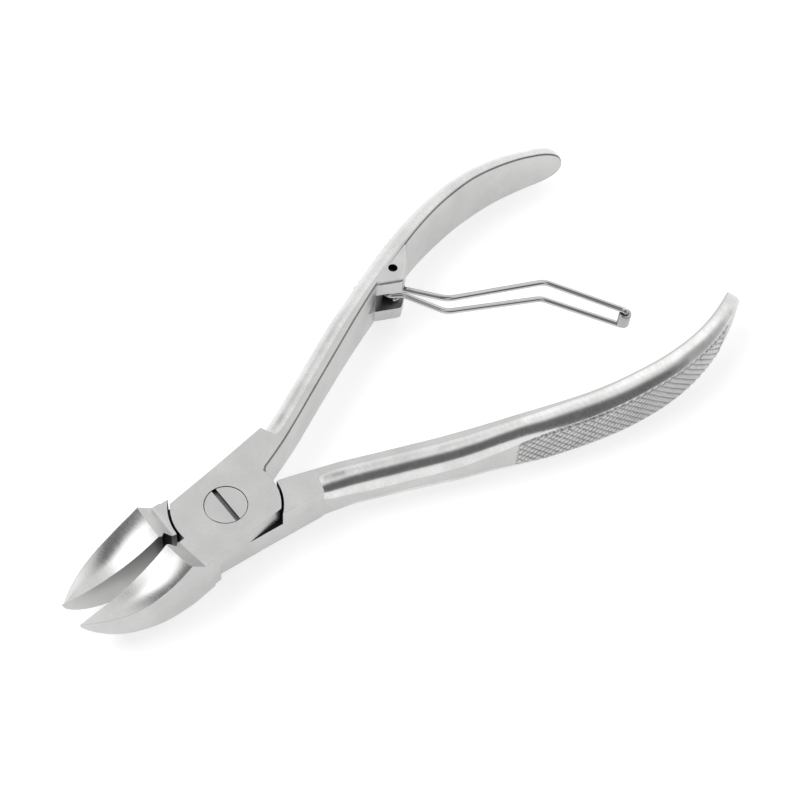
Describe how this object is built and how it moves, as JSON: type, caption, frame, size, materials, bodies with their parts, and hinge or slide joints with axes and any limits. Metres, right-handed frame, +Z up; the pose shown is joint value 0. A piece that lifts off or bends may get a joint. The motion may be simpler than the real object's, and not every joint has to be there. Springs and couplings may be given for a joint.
{
  "type": "nippers",
  "caption": "Lap-joint hand nippers with pointed hollow-ground jaws, flush slotted pivot screw, curved knurled handles and a wire spring arm with a roller.",
  "frame": {"origin": "on the pivot axis, at the flat underside of the lap joint", "axes": "+Z up along the pivot axis out of the screw head, +X from the pivot towards the handle ends, +Y towards the handle that carries the spring"},
  "size_m": [0.1424, 0.0638, 0.0138],
  "materials": {
    "lever_steel": "satin brushed stainless steel with polished bevels",
    "screw_steel": "brushed stainless steel, ground flush with the joint",
    "spring_steel": "bright drawn spring wire",
    "pin_steel": "plain steel pin",
    "roller_steel": "turned steel roller"
  },
  "bodies": {
    "upper_lever": {"upper_lever": "lever_steel", "spring_pin": "pin_steel"},
    "lower_lever": {"lower_lever": "lever_steel", "pivot_screw": "screw_steel"},
    "spring_arm": {"spring_wire": "spring_steel"},
    "roller": {"spring_roller": "roller_steel"}
  },
  "joints": [
    {"name": "pivot", "type": "hinge", "parent": "upper_lever", "child": "lower_lever", "pos_m": [0, 0, 0], "axis": [0, 0, 1], "range_deg": [-14, 8.2]},
    {"name": "spring_swing", "type": "hinge", "parent": "upper_lever", "child": "spring_arm", "pos_m": [0.0585, 0.02104, 0], "axis": [0, 0, 1], "range_deg": [0, 20], "stiffness_Nm_per_rad": 0.1},
    {"name": "roller_spin", "type": "hinge", "parent": "spring_arm", "child": "roller", "pos_m": [0.08892, -0.01407, 0], "axis": [0, 0, 1], "continuous": true}
  ]
}
